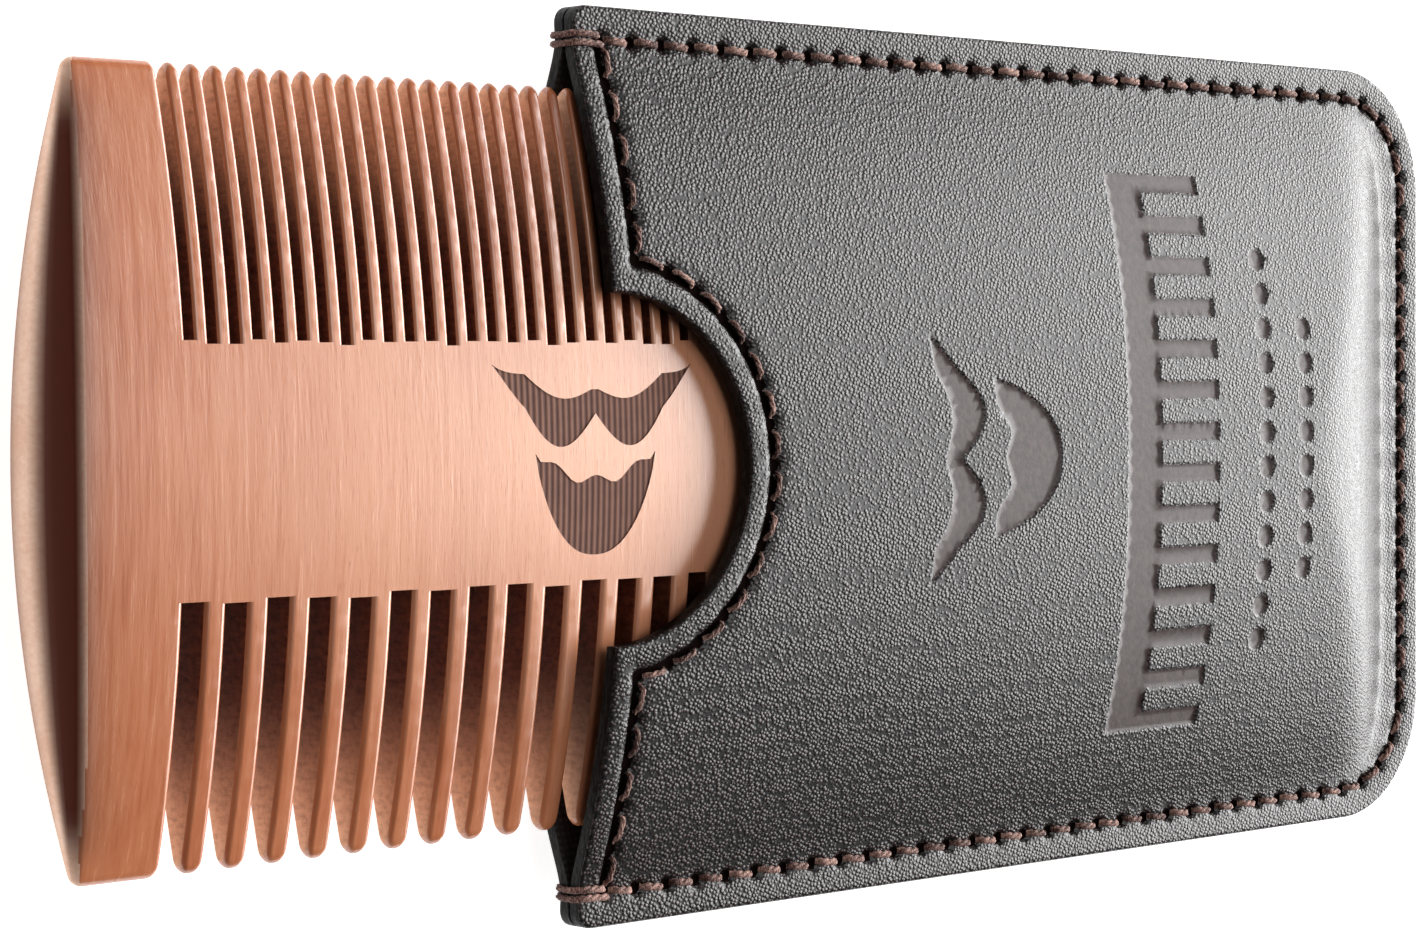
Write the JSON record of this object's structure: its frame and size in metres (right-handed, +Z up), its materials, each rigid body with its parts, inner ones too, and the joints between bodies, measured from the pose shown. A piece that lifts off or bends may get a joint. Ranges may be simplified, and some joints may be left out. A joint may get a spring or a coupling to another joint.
{
  "type": "beard comb",
  "caption": "Double-sided wooden pocket beard comb with fine and coarse teeth that slides in a stitched leather sleeve with a thumb notch.",
  "frame": {"origin": "centre of the flat face under the sleeve, half-way from the mouth to the closed end", "axes": "+X from the open mouth to the closed end, +Y towards the comb's fine teeth, +Z up out of the notched front panel"},
  "size_m": [0.1635, 0.075, 0.0135],
  "materials": {
    "comb_wood": "oiled satin",
    "sleeve_leather": "fine pebble grain, semi-matte",
    "stiffener_board": "matt, edges painted black",
    "lining_fabric": "matt woven",
    "thread": "waxed polyester"
  },
  "bodies": {
    "sleeve": {"front_cover": "sleeve_leather", "front_core": "stiffener_board", "front_lining": "lining_fabric", "back_cover": "sleeve_leather", "back_core": "stiffener_board", "back_lining": "lining_fabric", "perimeter_top_thread": "thread", "perimeter_bobbin_thread": "thread", "mouth_top_thread": "thread", "mouth_bobbin_thread": "thread"},
    "comb": {"comb": "comb_wood"}
  },
  "joints": [
    {"name": "comb_slide", "type": "slide", "parent": "sleeve", "child": "comb", "axis": [1, 0, 0], "range_m": [-0.05, 0.045]}
  ]
}
